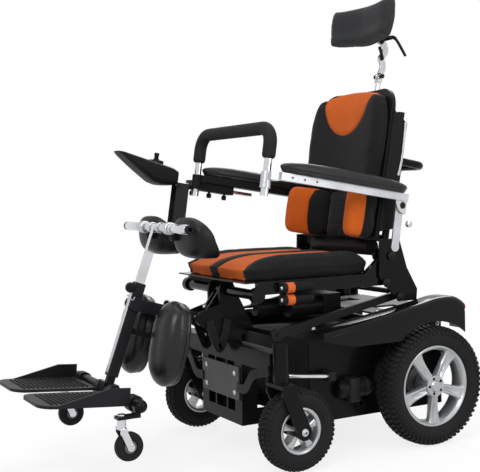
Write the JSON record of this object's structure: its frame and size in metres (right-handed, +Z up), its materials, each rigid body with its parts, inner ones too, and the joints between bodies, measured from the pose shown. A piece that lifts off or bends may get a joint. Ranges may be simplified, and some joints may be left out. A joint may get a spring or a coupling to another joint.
{
  "type": "standing power wheelchair",
  "caption": "Power wheelchair whose seat lifts its user upright: drive base, parallelogram seat and back, knee cups, sliding legrest, joystick and headrest.",
  "frame": {"origin": "on the floor, under the middle of the outer box", "axes": "+Z up, the chair faces -Y, its left side is +X"},
  "size_m": [0.666, 1.3237, 1.3303],
  "materials": {
    "black_steel": "satin black powder coat",
    "grey_steel": "grey powder coat",
    "dark_steel": "dark grey paint",
    "silver": "satin anodised",
    "chrome": "polished",
    "alloy": "silver paint",
    "tyre": "moulded rubber",
    "gloss_black": "gloss",
    "black_plastic": "fine grain",
    "battery": "moulded case",
    "lamp": "clear orange lens",
    "orange_band": "orange paint",
    "black_fabric": "woven mesh",
    "orange_fabric": "woven mesh",
    "leather": "smooth",
    "foam": "closed-cell foam",
    "webbing": "woven webbing"
  },
  "bodies": {
    "base": {"base_frame": "black_steel", "battery_pack": "battery", "drive_motors": "dark_steel", "gearboxes": "grey_steel", "fenders": "gloss_black", "cover_plates": "grey_steel", "tail_lights": "lamp", "stand_actuator": "dark_steel"},
    "lift_rod": {"lift_rod": "chrome"},
    "rear_wheel_left": {"rear_rim_left": "alloy", "rear_tyre_left": "tyre"},
    "rear_wheel_right": {"rear_rim_right": "alloy", "rear_tyre_right": "tyre"},
    "caster_fork_left": {"caster_fork_left": "black_steel"},
    "caster_wheel_left": {"caster_rim_left": "alloy", "caster_tyre_left": "tyre"},
    "caster_fork_right": {"caster_fork_right": "black_steel"},
    "caster_wheel_right": {"caster_rim_right": "alloy", "caster_tyre_right": "tyre"},
    "seat": {"seat_frame": "black_steel", "seat_cushion": "black_fabric", "buffers": "orange_band"},
    "carrier": {"back_carrier": "black_steel", "arm_uprights": "silver"},
    "links": {"control_links": "dark_steel"},
    "back": {"back_canes": "black_steel", "back_shell": "black_plastic", "back_cushion": "black_fabric", "lumbar_pads": "orange_fabric", "push_bar": "black_steel"},
    "headrest_stem": {"headrest_stem": "silver"},
    "headrest_link": {"headrest_link": "silver"},
    "headrest": {"headrest_mount": "black_plastic", "headrest_pad": "black_fabric"},
    "left_arm": {"left_arm_rail": "silver", "left_arm_pad": "leather"},
    "right_arm": {"right_arm_rail": "black_plastic", "right_arm_pad": "leather"},
    "grab_bar": {"grab_bar": "chrome", "grab_foam": "foam"},
    "joystick": {"joystick_rods": "chrome", "joystick_pod": "black_plastic", "strap": "webbing"},
    "gimbal": {"joystick_gimbal": "dark_steel"},
    "stick": {"joystick_stick": "black_plastic"},
    "rod_knob_front": {"rod_knob_front": "black_plastic"},
    "rod_knob_middle": {"rod_knob_middle": "black_plastic"},
    "rod_knob_rear": {"rod_knob_rear": "black_plastic"},
    "legrest": {"legrest_column": "silver", "calf_pads": "leather"},
    "leg_slider": {"legrest_slider": "black_steel"},
    "footplate_left": {"footplate_left": "grey_steel"},
    "footplate_right": {"footplate_right": "grey_steel"},
    "foot_fork_left": {"foot_fork_left": "chrome"},
    "foot_wheel_left": {"foot_wheel_left": "tyre"},
    "foot_fork_right": {"foot_fork_right": "chrome"},
    "foot_wheel_right": {"foot_wheel_right": "tyre"},
    "knee_bar": {"knee_bar": "chrome"},
    "knee_cup_left": {"knee_cup_left": "black_plastic"},
    "knee_cup_right": {"knee_cup_right": "black_plastic"}
  },
  "joints": [
    {"name": "stand_up", "type": "hinge", "parent": "base", "child": "seat", "pos_m": [0, -0.05, 0.47], "axis": [1, 0, 0], "range_deg": [0, 68]},
    {"name": "back_upright", "type": "hinge", "parent": "seat", "child": "carrier", "pos_m": [0, 0.393, 0.556], "axis": [1, 0, 0], "range_deg": [-68, 0]},
    {"name": "link_swing", "type": "hinge", "parent": "base", "child": "links", "pos_m": [0, 0.02, 0.354], "axis": [1, 0, 0], "range_deg": [0, 68]},
    {"name": "lift_pull", "type": "slide", "parent": "base", "child": "lift_rod", "axis": [0, 1, 0], "range_m": [0, 0.0785]},
    {"name": "legrest_raise", "type": "hinge", "parent": "base", "child": "legrest", "pos_m": [0, -0.14, 0.395], "axis": [-1, 0, 0], "range_deg": [0, 4]},
    {"name": "leg_extend", "type": "slide", "parent": "legrest", "child": "leg_slider", "axis": [0, -0.342, -0.9397], "range_m": [0, 0.0832]},
    {"name": "back_recline", "type": "hinge", "parent": "carrier", "child": "back", "pos_m": [0, 0.393, 0.556], "axis": [-1, 0, 0], "range_deg": [0, 30]},
    {"name": "headrest_height", "type": "slide", "parent": "back", "child": "headrest_stem", "axis": [0, 0.1736, 0.9848], "range_m": [0, 0.06]},
    {"name": "headrest_reach", "type": "hinge", "parent": "headrest_stem", "child": "headrest_link", "pos_m": [0, 0.53033, 1.10449], "axis": [1, 0, 0], "range_deg": [-20, 20]},
    {"name": "headrest_tilt", "type": "hinge", "parent": "headrest_link", "child": "headrest", "pos_m": [0, 0.53796, 1.21687], "axis": [1, 0, 0], "range_deg": [-20, 20]},
    {"name": "left_arm_flip", "type": "hinge", "parent": "carrier", "child": "left_arm", "pos_m": [0, 0.424, 0.699], "axis": [-1, 0, 0], "range_deg": [0, 45]},
    {"name": "right_arm_flip", "type": "hinge", "parent": "carrier", "child": "right_arm", "pos_m": [0, 0.424, 0.699], "axis": [-1, 0, 0], "range_deg": [0, 45]},
    {"name": "grab_bar_height", "type": "slide", "parent": "left_arm", "child": "grab_bar", "axis": [0, 0.1564, 0.9877], "range_m": [0, 0.06]},
    {"name": "joystick_reach", "type": "slide", "parent": "right_arm", "child": "joystick", "axis": [0, -0.9877, 0.1564], "range_m": [0, 0.06]},
    {"name": "stick_side", "type": "hinge", "parent": "joystick", "child": "gimbal", "pos_m": [-0.24, -0.14161, 0.82706], "axis": [1, 0, 0], "range_deg": [-15, 15], "stiffness_Nm_per_rad": 0.8},
    {"name": "stick_fore", "type": "hinge", "parent": "gimbal", "child": "stick", "pos_m": [-0.24, -0.14161, 0.82706], "axis": [0, -0.9877, 0.1564], "range_deg": [-15, 15], "stiffness_Nm_per_rad": 0.8},
    {"name": "knob_front_turn", "type": "hinge", "parent": "right_arm", "child": "rod_knob_front", "pos_m": [-0.24, -0.01865, 0.74886], "axis": [0, 0.1564, 0.9877], "range_deg": [-180, 180]},
    {"name": "knob_middle_turn", "type": "hinge", "parent": "right_arm", "child": "rod_knob_middle", "pos_m": [-0.24, 0.04061, 0.73947], "axis": [0, 0.1564, 0.9877], "range_deg": [-180, 180]},
    {"name": "knob_rear_turn", "type": "hinge", "parent": "right_arm", "child": "rod_knob_rear", "pos_m": [-0.24, 0.09395, 0.73103], "axis": [0, 0.1564, 0.9877], "range_deg": [-180, 180]},
    {"name": "footplate_left_flip", "type": "hinge", "parent": "leg_slider", "child": "footplate_left", "pos_m": [0, -0.40932, 0.21839], "axis": [-1, 0, 0], "range_deg": [0, 85]},
    {"name": "foot_caster_left_swivel", "type": "hinge", "parent": "leg_slider", "child": "foot_fork_left", "pos_m": [0.217, -0.45632, 0.19], "axis": [0, 0, 1], "continuous": true},
    {"name": "foot_wheel_left_spin", "type": "hinge", "parent": "foot_fork_left", "child": "foot_wheel_left", "pos_m": [0.217, -0.43832, 0.118], "axis": [1, 0, 0], "continuous": true},
    {"name": "footplate_right_flip", "type": "hinge", "parent": "leg_slider", "child": "footplate_right", "pos_m": [0, -0.40932, 0.21839], "axis": [-1, 0, 0], "range_deg": [0, 85]},
    {"name": "foot_caster_right_swivel", "type": "hinge", "parent": "leg_slider", "child": "foot_fork_right", "pos_m": [-0.217, -0.45632, 0.19], "axis": [0, 0, 1], "continuous": true},
    {"name": "foot_wheel_right_spin", "type": "hinge", "parent": "foot_fork_right", "child": "foot_wheel_right", "pos_m": [-0.217, -0.43832, 0.118], "axis": [1, 0, 0], "continuous": true},
    {"name": "knee_bar_height", "type": "slide", "parent": "legrest", "child": "knee_bar", "axis": [0, 0.342, 0.9397], "range_m": [0, 0.06]},
    {"name": "knee_cup_left_tilt", "type": "hinge", "parent": "knee_bar", "child": "knee_cup_left", "pos_m": [0, -0.24993, 0.65629], "axis": [1, 0, 0], "range_deg": [-10, 4]},
    {"name": "knee_cup_right_tilt", "type": "hinge", "parent": "knee_bar", "child": "knee_cup_right", "pos_m": [0, -0.24993, 0.65629], "axis": [1, 0, 0], "range_deg": [-10, 4]},
    {"name": "rear_wheel_left_spin", "type": "hinge", "parent": "base", "child": "rear_wheel_left", "pos_m": [0.275, 0.49, 0.175], "axis": [1, 0, 0], "continuous": true},
    {"name": "caster_left_swivel", "type": "hinge", "parent": "base", "child": "caster_fork_left", "pos_m": [0.29, -0.03, 0.29], "axis": [0, 0, 1], "continuous": true},
    {"name": "caster_wheel_left_spin", "type": "hinge", "parent": "caster_fork_left", "child": "caster_wheel_left", "pos_m": [0.29, 0.016, 0.112], "axis": [1, 0, 0], "continuous": true},
    {"name": "rear_wheel_right_spin", "type": "hinge", "parent": "base", "child": "rear_wheel_right", "pos_m": [-0.275, 0.49, 0.175], "axis": [1, 0, 0], "continuous": true},
    {"name": "caster_right_swivel", "type": "hinge", "parent": "base", "child": "caster_fork_right", "pos_m": [-0.29, -0.03, 0.29], "axis": [0, 0, 1], "continuous": true},
    {"name": "caster_wheel_right_spin", "type": "hinge", "parent": "caster_fork_right", "child": "caster_wheel_right", "pos_m": [-0.29, 0.016, 0.112], "axis": [1, 0, 0], "continuous": true}
  ],
  "couplings": [
    {"joint": "back_upright", "follows": "stand_up", "ratio": -1},
    {"joint": "link_swing", "follows": "stand_up", "ratio": 1},
    {"joint": "lift_pull", "follows": "stand_up", "m_per_rad": 0.06596},
    {"joint": "leg_extend", "follows": "stand_up", "m_per_rad": 0.0699},
    {"joint": "right_arm_flip", "follows": "left_arm_flip", "ratio": 1}
  ]
}
